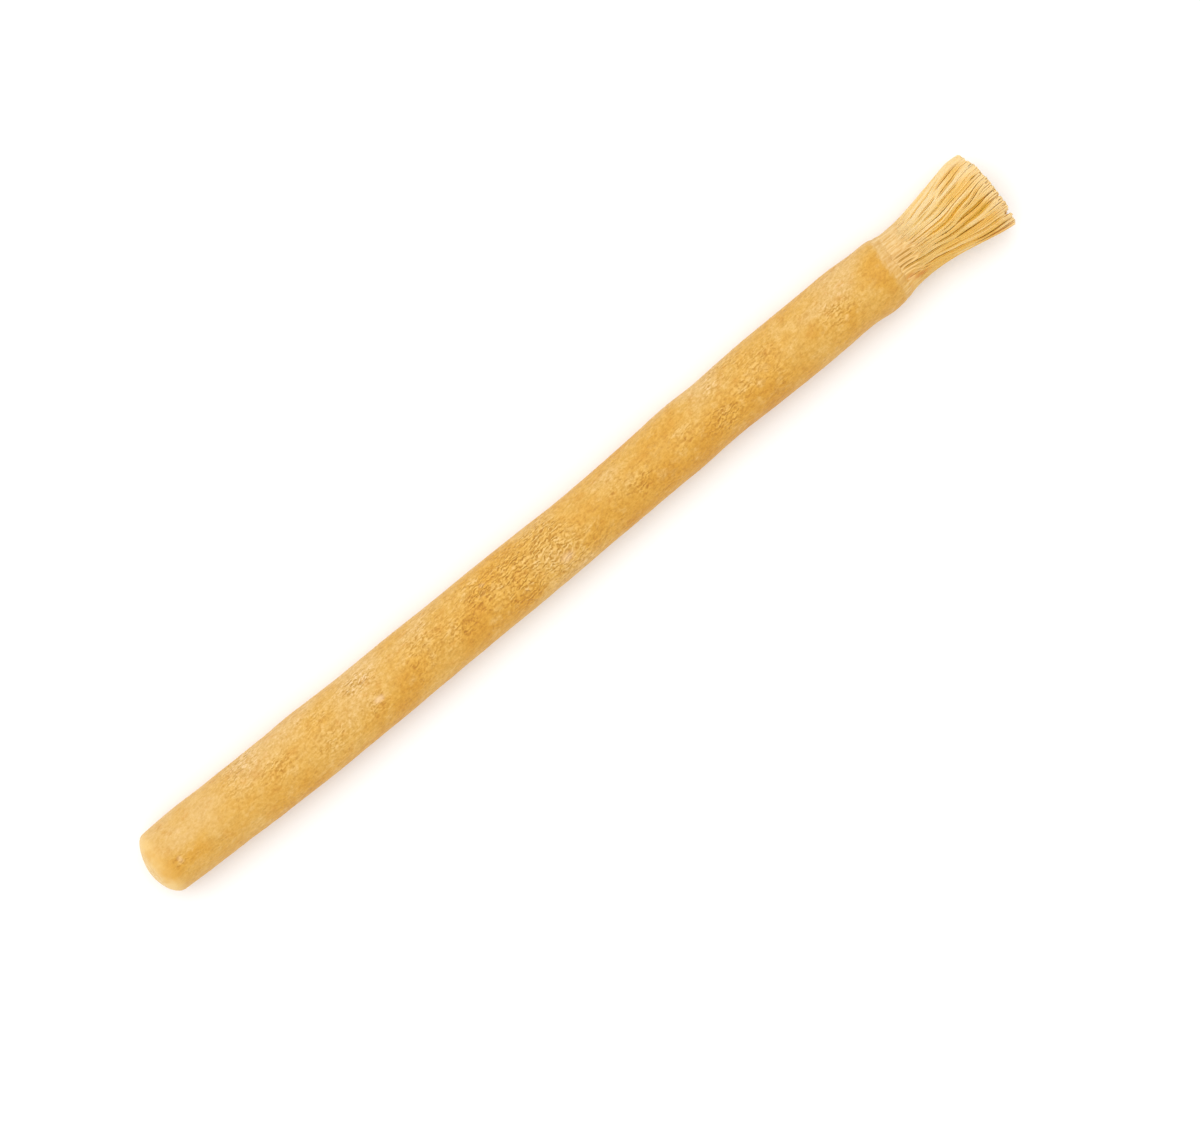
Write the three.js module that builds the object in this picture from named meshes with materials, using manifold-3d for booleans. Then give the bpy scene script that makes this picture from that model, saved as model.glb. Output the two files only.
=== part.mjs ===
// A miswak stick: a length of root in its smooth golden bark. One end is trimmed off square and rounded.
// At the other end the bark is peeled away and the bare wood is frayed into a brush of its own fibres.
// The stick grew as one piece, so it is one solid: the bark-covered handle, the neck and the brush's locks.
// It lies along X with the brush at +X, and rests on z = 0. Sizes are in millimetres.
import * as THREE from "three";
import { mergeVertices } from "three/addons/utils/BufferGeometryUtils.js";
import Module from "manifold-3d";

const LENGTH = 150;
const AXIS_HEIGHT = 4.75; // of the stick's straight middle line, above the surface that it lies on
const END_SLANT = 0.3; // how much further the trimmed end reaches in the middle than on the left
const BARK_END = 131.5; // the bark's rim, from the trimmed end
const COLLAR_END = 132.7; // the bark's cut edge slopes down to here,
const COLLAR_STEP = 0.14; // and stands out this far from the bare wood
const COLLAR_FADE = 2; // which comes up to the outline again over this length
const RIM_SLANT = 0.5; // how much further the bark reaches on the left than in the middle
const RIM_WAVE = 0.16; // the rim's unevenness, either way
const RIM_FADE = 6; // the rim's slant and unevenness fade out this far from it

// The stick's reach from its middle line at each distance from the trimmed end: to the left (+Y), to the
// right (-Y), up and down. Seen from above it bows a little to the right and is thinnest past its middle.
const OUTLINE = [
  [2.6, 4.78, 4.8, 4.7, 4.78],
  [6, 4.89, 4.95, 4.82, 4.86],
  [14, 4.73, 5.22, 4.94, 4.9],
  [22, 4.61, 5.53, 5.0, 4.92],
  [28.5, 4.68, 5.7, 5.05, 4.92],
  [34, 4.5, 5.65, 4.94, 4.9],
  [43, 4.4, 5.66, 4.84, 4.86],
  [52, 4.28, 5.58, 4.8, 4.82],
  [62, 4.21, 5.51, 4.8, 4.76],
  [70, 4.13, 5.52, 4.74, 4.68],
  [76, 3.97, 5.38, 4.66, 4.62],
  [83, 4.12, 5.3, 4.68, 4.68],
  [90, 4.34, 5.21, 4.76, 4.8],
  [95, 4.6, 5.18, 4.86, 4.86],
  [101, 4.52, 4.96, 4.78, 4.88],
  [108, 4.79, 5.1, 4.86, 4.92],
  [114.5, 4.81, 5.16, 4.92, 4.93],
  [121, 4.84, 5.06, 4.94, 4.92],
  [125, 4.82, 5.0, 4.92, 4.92],
  [129, 4.6, 5.34, 4.96, 4.9],
  [131.5, 4.54, 5.12, 4.8, 4.8],
  [132.7, 4.25, 4.83, 4.44, 4.44],
  [134.2, 4.08, 4.65, 4.22, 4.22],
  [136.5, 4.14, 4.63, 4.22, 4.12],
  [139.3, 4.56, 4.86, 4.58, 4.28],
  [142.2, 5.1, 5.41, 5.06, 4.46],
  [144.6, 5.52, 5.9, 5.44, 4.6],
  [146.9, 5.83, 6.28, 5.72, 4.68],
  [149.6, 5.58, 6.56, 5.8, 4.7],
];

// The trimmed end's rounding: the stick's share of its own reach at each depth.
const TRIMMED_END = [
  [0.02, 0.08],
  [0.16, 0.26],
  [0.38, 0.46],
  [0.72, 0.65],
  [1.15, 0.81],
  [1.7, 0.93],
  [2.6, 1],
];
const END_DEPTH = 2.6;

// Slow swellings in the root: height, waves along the stick, waves round it, and where each starts.
// They fade out at the left and right, where the outline above gives the stick's true width.
const SWELLINGS = [
  [0.09, 2.3, 1, 0.4],
  [0.08, 4.7, 2, 1.9],
  [0.07, 8.9, 3, 4.1],
];

const BODY_SIDES = 32;
const HANDLE_STEPS = [5, 8, 12, 16, 20, 24, 28, 31, 35, 40, 45, 50, 55, 60, 65, 70, 74, 78, 82, 86, 90, 94,
  97.5, 101, 105, 109, 112.5, 116.5, 120.5, 124, 126.5, 128.5, 130.2];

// The whole wood under and between the locks: its share of the outline's reach at each place on the stick.
const CORE = [
  [133.6, 0.95],
  [136, 0.92],
  [138.6, 0.84],
  [141.2, 0.64],
];

// The brush's locks stand in rings. Each ring gives how many locks it has, its place between the brush's
// middle, 0, and its outside, 1, where its locks start, and in how many steps they are drawn.
const LOCK_RINGS = [
  [5, 0.24, 139, 3],
  [10, 0.5, 138, 4],
  [17, 0.76, 137, 4],
  [26, 1, 131.8, 6],
];
const LOCK_SIDES = 5;
const LOCK_ROOT_RADIUS = 0.64;
const LOCK_TIP_RADIUS = 0.66;
const LOCK_THICKNESS_RANGE = 0.12; // thicker or thinner than that, as a share
const LOCK_SWAY = 0.08; // how far a lock strays to the side at its tip, as an angle
const LOCK_SPACING_RANGE = 0.35; // how unevenly the locks are spaced round a ring, as a share
const TIP_UNEVENNESS = 1.5; // the longest lock less the shortest

const outline = new THREE.CubicInterpolant(
  OUTLINE.map(([place]) => place),
  OUTLINE.flatMap(([, ...reaches]) => reaches),
  4,
);

// How far the stick reaches at a place towards an angle round its middle line, as [y, z], less an inset.
function reach(place, angle, inset = 0) {
  const [left, right, up, down] = outline.evaluate(place);
  const [across, above] = [Math.cos(angle), Math.sin(angle)];
  return [across * ((across > 0 ? left : right) - inset), above * ((above > 0 ? up : down) - inset)];
}

function swelling(place, angle) {
  const heights = SWELLINGS.map(
    ([height, along, round, start]) =>
      height * Math.sin((place / LENGTH) * along * 2 * Math.PI + round * angle + start),
  );
  return Math.sin(angle) ** 2 * heights.reduce((sum, height) => sum + height);
}

// How far the bark's rim, and what is near it, is shifted along the stick.
function rimShift(place, angle) {
  const fade = Math.max(0, 1 - Math.abs(place - BARK_END) / RIM_FADE);
  const wave = 0.6 * Math.sin(3 * angle + 0.9) + 0.4 * Math.sin(7 * angle + 2.1);
  return fade * (RIM_SLANT * Math.cos(angle) + RIM_WAVE * wave);
}

// How far the trimmed end is shifted along the stick: it's cut at a slight slant.
function endShift(place, share, angle) {
  return END_SLANT * share * Math.max(0, 1 - place / END_DEPTH) * Math.cos(angle);
}

// A closed tube through rings. A ring's function gives a point [x, y, z] for an angle, and for a share that
// is 1 on the skin and 0 at the ring's middle.
function tube(sides, rings) {
  const segments = rings.length - 1;
  const geometry = new THREE.CylinderGeometry(1, 1, segments, sides, segments).rotateZ(-Math.PI / 2);
  geometry.deleteAttribute("normal");
  geometry.deleteAttribute("uv");
  const points = geometry.attributes.position;
  for (let i = 0; i < points.count; i++) {
    const [x, y, z] = [points.getX(i), points.getY(i), points.getZ(i)];
    const ring = rings[Math.round(x + segments / 2)];
    points.setXYZ(i, ...ring(Math.atan2(z, y), Math.round(Math.hypot(y, z))));
  }
  return mergeVertices(geometry);
}

// A ring of the body: its place along the stick, its share of the outline's reach there, and an inset.
// The underside is flat where it meets the surface that the stick lies on.
function bodyRing(place, share = 1, inset = 0, outlinePlace = place) {
  return (angle, skin) => {
    const shift = (rimShift(place, angle) + endShift(place, share, angle)) * skin;
    const [y, z] = reach(outlinePlace + shift, angle, inset - swelling(place, angle));
    return [place + shift, y * share * skin, Math.max(z * share * skin + AXIS_HEIGHT, 0)];
  };
}

// The handle in its bark, rounded at the trimmed end, and the bare wood under the brush's locks.
function bodyGeometry() {
  return tube(BODY_SIDES, [
    ...TRIMMED_END.map(([depth, share]) => bodyRing(depth, share, 0, END_DEPTH)),
    ...HANDLE_STEPS.map((place) => bodyRing(place)),
    bodyRing(BARK_END),
    bodyRing(COLLAR_END),
    bodyRing(COLLAR_END + 0.05, 1, COLLAR_STEP + 0.1),
    ...CORE.map(([place, share]) => bodyRing(place, share)),
  ]);
}

// A number from 0 to 1 that is always the same for one lock and one purpose.
function steady(lock, purpose) {
  const value = Math.sin(lock * 127.1 + purpose * 311.7) * 43758.5453;
  return value - Math.floor(value);
}

// One lock of fibres, which follows the neck, spreads with the brush and ends in a cut tip.
function lockGeometry(lock, angle, share, start, steps) {
  const tip = LENGTH - TIP_UNEVENNESS * steady(lock, 1) * (0.35 + 0.65 * share);
  const sway = LOCK_SWAY * (2 * steady(lock, 2) - 1);
  const thickness = 1 + LOCK_THICKNESS_RANGE * (2 * steady(lock, 3) - 1);
  const rings = Array.from({ length: steps + 1 }, (_, step) => {
    const t = step / steps;
    const place = THREE.MathUtils.lerp(start, tip, t);
    const radius = thickness * THREE.MathUtils.lerp(LOCK_ROOT_RADIUS, LOCK_TIP_RADIUS, t);
    const underCollar = COLLAR_STEP * Math.max(0, 1 - (place - COLLAR_END) / COLLAR_FADE);
    const [y, z] = reach(place, angle + sway * t * t, radius + underCollar);
    return (turn, skin) => [
      place,
      y * share + radius * skin * Math.cos(turn + angle),
      z * share + radius * skin * Math.sin(turn + angle) + AXIS_HEIGHT,
    ];
  });
  return tube(LOCK_SIDES, rings);
}

const wasm = await Module();
wasm.setup();

function solidOf(geometry) {
  const mesh = new wasm.Mesh({
    numProp: 3,
    vertProperties: geometry.attributes.position.array,
    triVerts: new Uint32Array(geometry.index.array),
  });
  return new wasm.Manifold(mesh);
}

function geometryOf(solid) {
  const mesh = solid.getMesh();
  const geometry = new THREE.BufferGeometry();
  geometry.setAttribute("position", new THREE.BufferAttribute(mesh.vertProperties, 3));
  geometry.setIndex(new THREE.BufferAttribute(mesh.triVerts, 1));
  return geometry;
}

// The body and all the locks, joined into one solid. Hollows that the locks close in between them are
// filled: only the outer skin is kept.
function stickSolid() {
  let joined = solidOf(bodyGeometry());
  let lock = 0;
  for (const [count, share, start, steps] of LOCK_RINGS) {
    for (let i = 0; i < count; i++) {
      lock += 1;
      const spacing = i + LOCK_SPACING_RANGE * steady(lock, 4);
      const angle = (spacing / count + share) * 2 * Math.PI;
      joined = joined.add(solidOf(lockGeometry(lock, angle, share, start, steps)));
    }
  }
  return joined.decompose().find((body) => body.volume() > 0);
}

// The stick, with the origin under the middle of its bounding box.
function stickMesh() {
  const geometry = geometryOf(stickSolid());
  geometry.computeBoundingBox();
  const { min, max } = geometry.boundingBox;
  geometry.translate(-(min.x + max.x) / 2, -(min.y + max.y) / 2, -min.z);
  const rootWood = new THREE.MeshStandardMaterial({ color: 0xe2aa5c, roughness: 0.55, metalness: 0 });
  const mesh = new THREE.Mesh(geometry, rootWood);
  mesh.name = "miswak_stick";
  return mesh;
}

const miswak = new THREE.Group();
miswak.add(stickMesh());

export default miswak;
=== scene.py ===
"""The looks of a miswak stick: a length of root in satin golden bark, trimmed round at one end. At the other
end the bark is peeled off, and the bare wood is frayed into a brush of its own fibres.

The bark, the bare neck and the fibres stand for the frame's one solid. Lengths are in millimetres along the
stick from its trimmed end, and across it from its straight middle line, until a mesh is made from them.
Angles run round the stick from its left side, over its top, to its right side."""
import math

import bpy
import numpy as np
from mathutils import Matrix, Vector, noise


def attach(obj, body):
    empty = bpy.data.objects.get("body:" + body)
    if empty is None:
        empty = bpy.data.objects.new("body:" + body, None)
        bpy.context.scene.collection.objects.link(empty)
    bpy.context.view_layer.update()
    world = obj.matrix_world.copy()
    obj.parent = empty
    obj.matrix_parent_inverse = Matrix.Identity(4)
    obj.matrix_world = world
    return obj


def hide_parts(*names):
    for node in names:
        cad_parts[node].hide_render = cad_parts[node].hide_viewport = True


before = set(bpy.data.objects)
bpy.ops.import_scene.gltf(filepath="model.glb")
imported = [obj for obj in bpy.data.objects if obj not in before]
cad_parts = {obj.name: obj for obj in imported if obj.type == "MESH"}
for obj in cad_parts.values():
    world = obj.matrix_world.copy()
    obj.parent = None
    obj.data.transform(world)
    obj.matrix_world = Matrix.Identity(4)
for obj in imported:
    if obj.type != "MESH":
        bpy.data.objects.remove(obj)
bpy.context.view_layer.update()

MM = 0.001
LENGTH = 150.0
MIDDLE_HEIGHT = 4.75  # of the middle line, above the floor
END_DEPTH = 2.6  # the trimmed end is rounded over this length
END_SLANT = 0.3  # how much further the trimmed end reaches in the middle than on the left
BARK_END = 131.5  # the bark's golden skin ends here,
COLLAR_END = 132.7  # its cut edge slopes down to here,
COLLAR_STEP = 0.14  # and stands out this far from the bare wood
RIM_SLANT = 0.5  # how much further the bark reaches on the left than in the middle
RIM_WAVE = 0.16  # the rim's unevenness, either way
RIM_FADE = 6.0  # the rim's slant and unevenness fade out this far from it

# The stick's reach from its middle line at each place: to the left (+Y), to the right (-Y), up and down.
OUTLINE = [
    (2.6, 4.78, 4.8, 4.7, 4.78),
    (6, 4.89, 4.95, 4.82, 4.86),
    (14, 4.73, 5.22, 4.94, 4.9),
    (22, 4.61, 5.53, 5.0, 4.92),
    (28.5, 4.68, 5.7, 5.05, 4.92),
    (34, 4.5, 5.65, 4.94, 4.9),
    (43, 4.4, 5.66, 4.84, 4.86),
    (52, 4.28, 5.58, 4.8, 4.82),
    (62, 4.21, 5.51, 4.8, 4.76),
    (70, 4.13, 5.52, 4.74, 4.68),
    (76, 3.97, 5.38, 4.66, 4.62),
    (83, 4.12, 5.3, 4.68, 4.68),
    (90, 4.34, 5.21, 4.76, 4.8),
    (95, 4.6, 5.18, 4.86, 4.86),
    (101, 4.52, 4.96, 4.78, 4.88),
    (108, 4.79, 5.1, 4.86, 4.92),
    (114.5, 4.81, 5.16, 4.92, 4.93),
    (121, 4.84, 5.06, 4.94, 4.92),
    (125, 4.82, 5.0, 4.92, 4.92),
    (129, 4.6, 5.34, 4.96, 4.9),
    (131.5, 4.54, 5.12, 4.8, 4.8),
    (132.7, 4.25, 4.83, 4.44, 4.44),
    (134.2, 4.08, 4.65, 4.22, 4.22),
    (136.5, 4.14, 4.63, 4.22, 4.12),
    (139.3, 4.56, 4.86, 4.58, 4.28),
    (142.2, 5.1, 5.41, 5.06, 4.46),
    (144.6, 5.52, 5.9, 5.44, 4.6),
    (146.9, 5.83, 6.28, 5.72, 4.68),
    (149.6, 5.58, 6.56, 5.8, 4.7),
]
# Slow swellings: height, waves along the stick, waves round it, and where each starts.
SWELLINGS = [(0.09, 2.3, 1, 0.4), (0.08, 4.7, 2, 1.9), (0.07, 8.9, 3, 4.1)]

# The bark's cut edge: the distance from the bark's end, and the inset, over the skin's edge, down the slope
# and back under it.
COLLAR_PROFILE = [
    (-0.14, 0), (-0.07, 0), (-0.02, 0.01), (0.03, 0.03), (0.09, 0.045),
    (0.2, 0.04), (0.4, 0.02), (0.65, 0), (0.85, 0), (1.0, 0.01), (1.1, 0.025), (1.17, 0.05),
    (1.2, 0.08), (1.21, 0.14), (1.2, 0.25), (1.18, 0.4),
]

BARK_STEP = 0.37  # between the bark's rings of points
BARK_SIDES = 250  # the points in each ring
END_RINGS = 26  # over the trimmed end
BARK_RIPPLES = 58  # fine ripples round the bark
GRAIN_TWIST = 0.02  # the bark's grain winds round the stick: radians for each millimetre along it
WRINKLE_HEIGHT = 0.082
LUMP_HEIGHT = 0.06
SMALL_LUMP_HEIGHT = 0.035
# Patches of the bark: place, angle in degrees, half length, half width in degrees, and strength.
WRINKLED_PATCHES = [
    (65.5, 92, 4.6, 58, 1.0),
    (71.0, 90, 4.0, 66, 1.0),
    (59.8, 74, 3.5, 36, 0.85),
    (54.5, 100, 4.5, 28, 0.6),
    (48.0, 94, 3.0, 24, 0.45),
    (38.9, 58, 3.5, 24, 0.7),
    (39.0, 109, 3.0, 22, 0.5),
    (31.6, 110, 4.0, 24, 0.45),
    (32.1, 66, 3.0, 20, 0.4),
    (23.0, 90, 3.5, 24, 0.6),
    (4.6, 105, 1.5, 20, 0.6),
    (10.5, 125, 3.0, 25, 0.4),
    (86.9, 105, 3.5, 30, 0.5),
    (95.0, 94, 3.5, 28, 0.45),
    (101.2, 112, 4.0, 28, 0.65),
    (102.9, 52, 3.0, 22, 0.5),
    (106.1, 93, 3.0, 25, 0.55),
    (122.3, 94, 3.5, 28, 0.55),
    (30.0, 258, 8.0, 50, 0.7),
    (82.0, 229, 9.0, 45, 0.8),
    (110.0, 298, 7.0, 40, 0.6),
    (50.0, 320, 8.0, 35, 0.7),
    (18.0, 195, 6.0, 35, 0.6),
]
GOLDEN_PATCHES = [
    (3.6, 98, 2.0, 24, 0.55),
    (7.7, 112, 3.0, 24, 0.6),
    (18.0, 120, 5.0, 26, 0.5),
    (79.0, 110, 5.5, 42, 1.0),
    (65.2, 134, 3.0, 20, 0.8),
    (88.0, 118, 5.0, 20, 0.5),
    (102.6, 98, 4.0, 24, 0.6),
    (118.3, 98, 3.6, 28, 0.8),
    (123.3, 113, 2.0, 16, 0.8),
    (130.3, 88, 2.6, 48, 1.2),
    (44.0, 270, 9.0, 40, 0.8),
    (97.0, 250, 8.0, 50, 0.8),
]
PALE_PATCHES = [
    (3.5, 60, 3.5, 40, 0.7),
    (10.0, 64, 9.0, 38, 1.1),
    (49.0, 58, 9.0, 26, 0.7),
    (84.0, 60, 4.0, 20, 0.5),
    (112.0, 62, 8.0, 22, 0.6),
    (125.0, 50, 4.0, 25, 0.5),
    (70.0, 285, 9.0, 35, 0.7),
]
SCUFFS = [
    (4.7, 104, 0.4, 8, 0.7),
    (6.9, 65, 0.7, 5, 0.5),
    (39.8, 106, 0.9, 5, 1.0),
    (60.6, 68, 0.7, 5, 0.5),
    (72.2, 122, 1.3, 9, 0.7),
]

FIBRE_LAYERS = 22  # from the brush's outside to its middle
OUTER_FIBRES = 158  # in the outermost layer
FIBRE_SIDES = 5
FIBRE_STEPS = 12
FIBRE_RADIUS = 0.152
FIBRE_WANDER = 0.3  # how far a fibre strays to the side at its tip, in degrees
STRAY_SHARE = 0.05  # of the outer fibres: they stand out a little
SHORT_SHARE = 0.2  # of all fibres: they are cut shorter
TIP_SLANT_LEFT = 0.65  # how much shorter the brush is on its left than in its middle,
TIP_SLANT_RIGHT = 0.42  # and on its right
TUFT_STEP = 0.45  # how far the tufts end behind each other, across the brush,
LEVEL_TUFT_STEP = 0.25  # and from its top down
FIBRE_GLOW = 0.25  # how far light spreads inside the thin fibres
FRAYING_PLACE = 134.6  # where the wood starts to come apart into fibres on the right
NECK_STEP = 0.14  # between the neck's rings of points
NECK_SIDES = 360  # the points in each ring
NECK_END = 141.5  # the neck's wood goes on to here inside the brush
COLLAR_STREAK_HEIGHT = 0.05
NECK_STREAK_HEIGHT = 0.07
SLIT_DEPTH = 0.3
NECK_RADIUS = 4.3
ROUGH_RADIUS = 4.5  # of the stick, where only its rough size matters
STRAND_PLACES = [133, 137, 141, 145, 149]
STRAND_SPACING = 4.0
# How the fibres spread round the brush: the angle in degrees of some of them at each of those places.
STRANDS = [
    (0, -3, -8, -14, -20),
    (46, 43, 35, 24, 12),
    (57, 54, 48, 36.5, 28),
    (65, 62, 59.5, 52, 43),
    (71, 70, 68, 62, 55),
    (76, 75.5, 77, 72.5, 67),
    (86, 90, 92, 83, 75.5),
    (93, 97, 101, 93.5, 83),
    (99, 103, 106.5, 100.5, 98),
    (104, 109, 113.5, 112, 106),
    (110, 118.5, 123, 121, 120),
    (117, 125.5, 131, 134.5, 133),
    (123, 136, 145, 152.5, 149),
    (145, 153, 159, 162, 161),
    (180, 182, 185, 187, 189),
    (230, 228, 226, 227, 229),
    (275, 277, 279, 276, 272),
    (320, 319, 318, 314, 308),
    (360, 357, 352, 346, 340),
]
# The gaps between strands: where each starts and ends, its angle where the fibres start, and its half width,
# both in degrees. The first seven start as slits in the neck.
GAPS = [
    (132.5, 134.3, 68, 0.9),
    (132.2, 136.4, 88, 1.8),
    (132.3, 136.2, 96.5, 1.8),
    (132.0, 135.8, 105, 1.7),
    (132.3, 141.0, 111.5, 2.3),
    (132.2, 135.6, 118.5, 1.3),
    (132.8, 135.2, 132, 1.2),
    (136.2, 140.0, 28, 1.4),
    (136.8, 145.6, 46, 3.2),
    (143.0, 148.5, 56.5, 2.8),
    (138.2, 143.4, 60, 2.4),
    (137.4, 141.4, 64.5, 1.8),
    (142.2, 147.2, 64.5, 2.6),
    (138.6, 142.6, 71, 2.8),
    (141.4, 147.4, 71, 2.6),
    (135.0, 140.4, 76, 1.3),
    (139.0, 145.8, 76, 2.1),
    (147.0, 149.5, 76.5, 1.9),
    (138.3, 142.2, 81.5, 1.0),
    (137.8, 147.4, 88, 3.0),
    (136.4, 139.0, 94.5, 1.3),
    (140.2, 142.6, 94.5, 1.6),
    (143.4, 149.0, 93.5, 1.7),
    (139.4, 142.0, 100.5, 1.6),
    (142.2, 148.6, 100.5, 2.5),
    (137.6, 144.4, 105.5, 2.2),
    (142.6, 148.8, 105, 3.6),
    (140.6, 146.4, 112, 2.2),
    (138.2, 142.4, 119, 2.0),
    (142.2, 149.0, 119, 2.1),
    (135.8, 142.8, 125, 3.2),
    (142.0, 149.4, 125, 2.2),
    (136.2, 140.4, 152, 2.0),
    (144.6, 149.2, 146, 1.6),
]
HIDDEN_GAPS = 30  # more of them, on the underside
# Tufts of fibres: place, starting angle in degrees, half length, half width in degrees, and strength.
PALE_TUFTS = [
    (138.6, 84, 3.4, 11, 0.26),
    (144.2, 108, 1.6, 6, 0.32),
    (145.8, 86, 1.3, 7, 0.3),
    (145.8, 121, 1.6, 5, 0.34),
    (147.4, 132, 1.2, 7, 0.4),
]
GOLDEN_TUFTS = [
    (139.4, 115, 2.4, 4.5, 0.6),
    (141.2, 18, 2.6, 20, 0.45),
    (142.4, 119, 1.8, 4, 0.4),
    (147.2, 62, 1.6, 8, 0.4),
]
# Faint orange stains on the bare wood, given in the same way.
STAINS = [
    (134.6, 140, 1.2, 6, 1.0),
    (133.4, 130, 0.8, 6, 0.8),
    (132.4, 152, 0.8, 14, 0.5),
]
NOTCHES = [(-5.0, 0.36, 1.0), (4.4, 0.18, 0.3), (-2.3, 0.2, 0.25)]  # in the tips: y, half width and depth
SEED = 7

# Colours are linear red, green and blue. A ramp's rows give a position from 0 to 1, and the colour there.
BARK_RAMP = [
    (0.26, (0.54, 0.245, 0.015)),
    (0.42, (0.585, 0.295, 0.031)),
    (0.56, (0.605, 0.335, 0.058)),
    (0.74, (0.63, 0.385, 0.115)),
]
PALE_CLOUD = (0.68, 0.43, 0.13)
GOLDEN_CLOUD = (0.525, 0.22, 0.012)
# Painted shade and highlight: from the bottom of the bark's furrows, painted darker as shade, to the top of
# its wrinkles, painted paler as a highlight, the bark's colour is multiplied by these.
PAINTED_RELIEF_SHADE_RAMP = [
    (0.0, (0.69, 0.555, 0.22)),
    (0.5, (1, 1, 1)),
    (1.0, (1.26, 1.42, 2.45)),
]
SCUFF_COLOUR = (0.82, 0.56, 0.30)
WORN_END_RAMP = [(0.38, (0.70, 0.40, 0.09)), (0.6, (0.80, 0.55, 0.21))]
COLLAR_RAMP = [(0.36, (0.57, 0.31, 0.07)), (0.64, (0.68, 0.42, 0.145))]
END_GRAIN_RAMP = [(0.36, (0.72, 0.46, 0.15)), (0.64, (0.81, 0.58, 0.255))]
RING_COLOUR = (0.66, 0.40, 0.12)
PORE_COLOUR = (0.50, 0.26, 0.05)
# Painted light: from the stick's right, in painted shade, to its left, where the light comes from, bare
# wood's colour is multiplied by these.
SIDE_LIGHT_RAMP = [
    (0.0, (1.0, 0.96, 0.64)),
    (0.5, (1, 1, 1)),
    (1.0, (1.0, 1.08, 1.26)),
]
WOOD_RAMP = [
    (0.36, (0.60, 0.325, 0.075)),
    (0.5, (0.665, 0.405, 0.135)),
    (0.64, (0.71, 0.465, 0.185)),
]
# Painted shade in the bare wood's furrows, and a painted highlight on its ridges.
FURROW_SHADE_COLOUR = (0.53, 0.27, 0.055)
RIDGE_HIGHLIGHT_COLOUR = (0.76, 0.52, 0.23)
# Painted shade inside the neck's slits, and a painted highlight along their edges.
SLIT_SHADE_COLOUR = (0.44, 0.235, 0.03)
SLIT_EDGE_HIGHLIGHT_COLOUR = (0.80, 0.545, 0.22)
STAIN_COLOUR = (0.57, 0.225, 0.035)
FIBRE_RAMP = [
    (0.1, (0.72, 0.41, 0.08)),
    (0.5, (0.77, 0.495, 0.163)),
    (0.9, (0.795, 0.57, 0.27)),
]
FIBRE_ROOT_COLOUR = (0.665, 0.41, 0.14)
FIBRE_END_COLOUR = (0.79, 0.57, 0.275)
# Painted shade: the deeper golden of fibres inside the brush and beside its gaps.
INNER_FIBRE_SHADE_COLOUR = (0.80, 0.46, 0.04)
GAP_SHADE_COLOUR = (0.70, 0.40, 0.045)
CUT_TIP_COLOUR = (0.76, 0.53, 0.23)
FLOOR_COLOUR = (0.93, 0.93, 0.93)
BARE_GLOSS = 0.35  # the specular level of bark and wood
FINE_BUMP = 0.06 * MM

PHOTO_WIDTH, PHOTO_HEIGHT = 1200, 1132
PHOTO_TILT = math.radians(39.43)  # of the stick in the photo
PHOTO_STICK = 1087.5  # the stick's length in its pixels
PHOTO_SCALE = LENGTH / PHOTO_STICK  # millimetres for each of its pixels
PHOTO_START = Vector((150.1, 873.1))  # the pixel where the middle line leaves the trimmed end
LENS = 250
SENSOR_WIDTH = 36
FLOOR_HALF = 3.0  # in metres, as the two below
LAMP_SIZE = 1.2
LAMP_DISTANCE = 0.9
LAMP_POWER = 3.8
SKY_STRENGTH = 1.05


def outline_curve(rows):
    """A function that gives smooth values between the rows of a table, for an array of places."""
    table = np.array(rows, float)
    at, values = table[:, 0], table[:, 1:]
    slopes = np.gradient(values, at, axis=0)

    def evaluate(places):
        places = np.clip(np.asarray(places, float), at[0], at[-1])
        i = np.clip(np.searchsorted(at, places, side="right") - 1, 0, len(at) - 2)
        span = (at[i + 1] - at[i])[..., None]
        t = (places - at[i])[..., None] / span
        return (
            (2 * t**3 - 3 * t**2 + 1) * values[i]
            + (t**3 - 2 * t**2 + t) * span * slopes[i]
            + (3 * t**2 - 2 * t**3) * values[i + 1]
            + (t**3 - t**2) * span * slopes[i + 1]
        )

    return evaluate


outline = outline_curve(OUTLINE)


def smooth_step(low, high, x):
    """0 up to low and 1 from high on, with a smooth rise between them."""
    t = np.clip((x - low) / (high - low), 0, 1)
    return t * t * (3 - 2 * t)


def reach(places, angles, inset=0.0):
    """How far the stick reaches at each place towards each angle, as arrays of y and z, less an inset."""
    left, right, up, down = np.moveaxis(outline(places), -1, 0)
    across, above = np.cos(angles), np.sin(angles)
    y = across * (np.where(across > 0, left, right) - inset)
    z = above * (np.where(above > 0, up, down) - inset)
    return y, z


def swelling(places, angles):
    """How far the root swells or narrows. This fades out at the left and right, where the outline is true."""
    total = sum(
        height * np.sin(places / LENGTH * along * 2 * np.pi + turns * angles + start)
        for height, along, turns, start in SWELLINGS
    )
    return np.sin(angles) ** 2 * total


def rim_shift(places, angles):
    """How far the bark's rim, and what is near it, is shifted along the stick."""
    fade = np.maximum(0, 1 - abs(places - BARK_END) / RIM_FADE)
    wave = 0.6 * np.sin(3 * angles + 0.9) + 0.4 * np.sin(7 * angles + 2.1)
    return fade * (RIM_SLANT * np.cos(angles) + RIM_WAVE * wave)


def field(points, size, seed=0.0):
    """Smooth noise, from about -1 to 1, at each of some points; size is that of its features."""
    flat = (points.reshape(-1, 3) / size + seed).tolist()
    return np.array([noise.noise(p) for p in flat]).reshape(points.shape[:-1])


def patches(rows, places, angles):
    """How strongly any of some patches shows at each place and angle."""
    total = np.zeros(np.broadcast(places, angles).shape)
    for place, angle, half_length, half_width, strength in rows:
        turn = (np.degrees(angles) - angle + 180) % 360 - 180
        away = ((places - place) / half_length) ** 2 + (turn / half_width) ** 2
        total = np.maximum(total, strength * np.exp(-away))
    return total


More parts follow.
